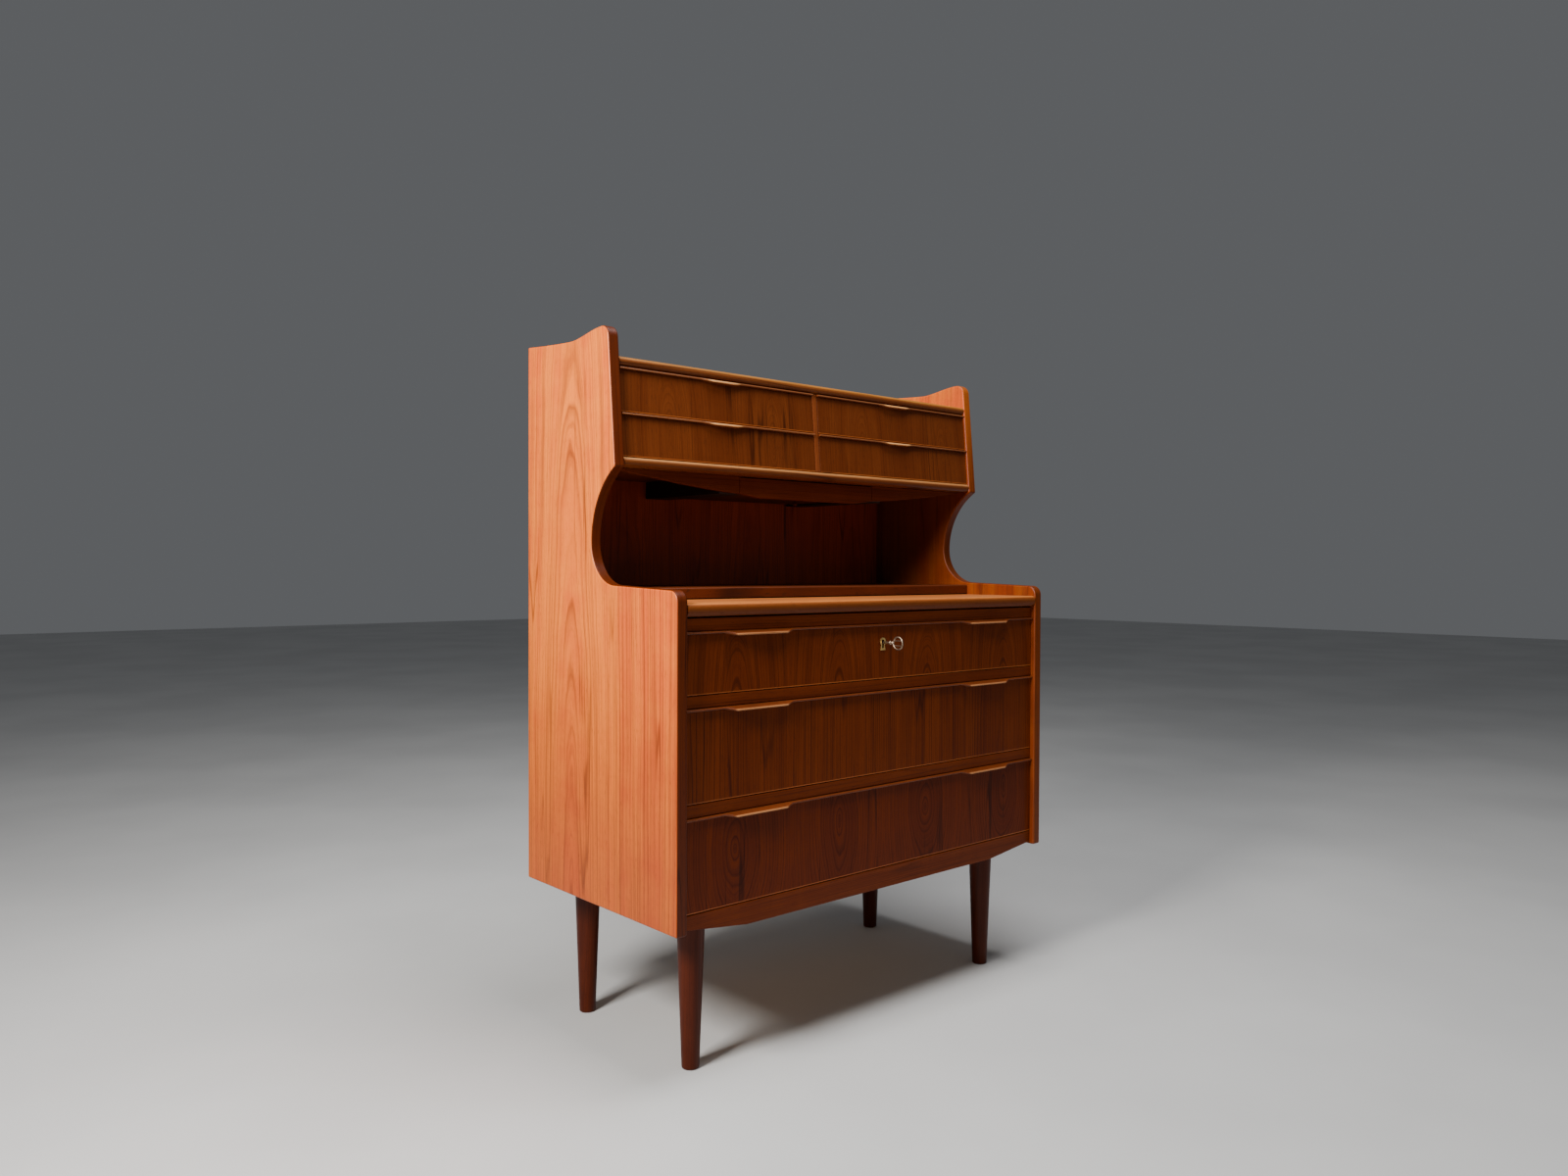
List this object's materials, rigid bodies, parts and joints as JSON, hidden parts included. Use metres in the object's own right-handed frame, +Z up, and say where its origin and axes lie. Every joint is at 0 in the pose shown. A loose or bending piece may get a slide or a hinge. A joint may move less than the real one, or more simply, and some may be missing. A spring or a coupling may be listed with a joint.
{
  "type": "secretary desk",
  "caption": "Teak secretary desk: scalloped sides, small drawers over an open niche, a pull-out writing leaf and wide drawers with winged lip pulls, on round tapered legs.",
  "frame": {"origin": "on the floor, under the middle of the desk's bounding box", "axes": "+Z up, the drawers open towards -Y, +X to the right of someone who sits at the desk"},
  "size_m": [0.9, 0.483, 1.1815],
  "materials": {
    "case_teak": "oiled teak veneer, satin, upright grain",
    "front_teak": "oiled dark teak veneer, satin, upright grain",
    "edge_teak": "oiled solid teak, satin, grain along its length",
    "niche_teak": "oiled teak veneer, satin",
    "leaf_teak": "oiled teak veneer, satin, grain along the desk",
    "leg_teak": "oiled solid teak, turned",
    "box_wood": "pale hardwood, thin lacquer",
    "plywood": "plywood, thin lacquer",
    "dark_stain": "dark stained hardwood, matte",
    "brass": "aged, satin",
    "steel": "nickel plated, worn"
  },
  "bodies": {
    "carcass": {"side_left": "case_teak", "side_right": "case_teak", "rail_top": "edge_teak", "rail_middle": "edge_teak", "rail_lower": "edge_teak", "bottom_apron": "edge_teak", "bottom_panel": "plywood", "back_lower": "plywood", "back_upper": "niche_teak", "leaf_runner_left": "box_wood", "leaf_runner_right": "box_wood", "top_drawer_runner_left": "box_wood", "top_drawer_runner_right": "box_wood", "middle_drawer_runner_left": "box_wood", "middle_drawer_runner_right": "box_wood", "leg_front_left": "leg_teak", "leg_front_right": "leg_teak", "leg_back_left": "leg_teak", "leg_back_right": "leg_teak", "niche_floor": "niche_teak", "bank_floor": "edge_teak", "bank_top": "edge_teak", "bank_divider": "edge_teak", "bank_shelf_left": "plywood", "bank_shelf_right": "plywood", "bank_apron_left": "front_teak", "bank_apron_right": "front_teak", "tray_runner_left": "dark_stain", "tray_runner_right": "dark_stain", "strike_plate": "steel"},
    "writing_leaf": {"leaf_lip": "edge_teak", "leaf_panel": "leaf_teak"},
    "drawer_top": {"drawer_top_front": "front_teak", "drawer_top_box": "box_wood", "drawer_top_panel": "plywood", "lock_case": "steel", "escutcheon": "brass"},
    "drawer_middle": {"drawer_middle_front": "front_teak", "drawer_middle_box": "box_wood", "drawer_middle_panel": "plywood"},
    "drawer_bottom": {"drawer_bottom_front": "front_teak", "drawer_bottom_box": "box_wood", "drawer_bottom_panel": "plywood"},
    "small_drawer_upper_left": {"small_drawer_upper_left_front": "front_teak", "small_drawer_upper_left_box": "box_wood", "small_drawer_upper_left_panel": "plywood"},
    "small_drawer_upper_right": {"small_drawer_upper_right_front": "front_teak", "small_drawer_upper_right_box": "box_wood", "small_drawer_upper_right_panel": "plywood"},
    "small_drawer_lower_left": {"small_drawer_lower_left_front": "front_teak", "small_drawer_lower_left_box": "box_wood", "small_drawer_lower_left_panel": "plywood"},
    "small_drawer_lower_right": {"small_drawer_lower_right_front": "front_teak", "small_drawer_lower_right_box": "box_wood", "small_drawer_lower_right_panel": "plywood"},
    "tray": {"tray_front": "front_teak", "tray_box": "box_wood", "tray_knob": "front_teak"},
    "key": {"key": "steel"},
    "lock_bolt": {"lock_bolt": "brass"}
  },
  "joints": [
    {"name": "leaf_slide", "type": "slide", "parent": "carcass", "child": "writing_leaf", "axis": [0, -1, 0], "range_m": [0, 0.19]},
    {"name": "drawer_top_slide", "type": "slide", "parent": "carcass", "child": "drawer_top", "axis": [0, -1, 0], "range_m": [0, 0.3]},
    {"name": "drawer_middle_slide", "type": "slide", "parent": "carcass", "child": "drawer_middle", "axis": [0, -1, 0], "range_m": [0, 0.3]},
    {"name": "drawer_bottom_slide", "type": "slide", "parent": "carcass", "child": "drawer_bottom", "axis": [0, -1, 0], "range_m": [0, 0.3]},
    {"name": "small_drawer_upper_left_slide", "type": "slide", "parent": "carcass", "child": "small_drawer_upper_left", "axis": [0, -1, 0], "range_m": [0, 0.16]},
    {"name": "small_drawer_upper_right_slide", "type": "slide", "parent": "carcass", "child": "small_drawer_upper_right", "axis": [0, -1, 0], "range_m": [0, 0.16]},
    {"name": "small_drawer_lower_left_slide", "type": "slide", "parent": "carcass", "child": "small_drawer_lower_left", "axis": [0, -1, 0], "range_m": [0, 0.16]},
    {"name": "small_drawer_lower_right_slide", "type": "slide", "parent": "carcass", "child": "small_drawer_lower_right", "axis": [0, -1, 0], "range_m": [0, 0.16]},
    {"name": "tray_slide", "type": "slide", "parent": "carcass", "child": "tray", "axis": [0, -1, 0], "range_m": [0, 0.15]},
    {"name": "key_turn", "type": "hinge", "parent": "drawer_top", "child": "key", "pos_m": [0, -0.1935, 0.6645], "axis": [0, 1, 0], "range_deg": [0, 180]},
    {"name": "bolt_throw", "type": "slide", "parent": "drawer_top", "child": "lock_bolt", "axis": [0, 0, 1], "range_m": [0, 0.006]}
  ],
  "couplings": [
    {"joint": "bolt_throw", "follows": "key_turn", "m_per_rad": 0.0019}
  ]
}
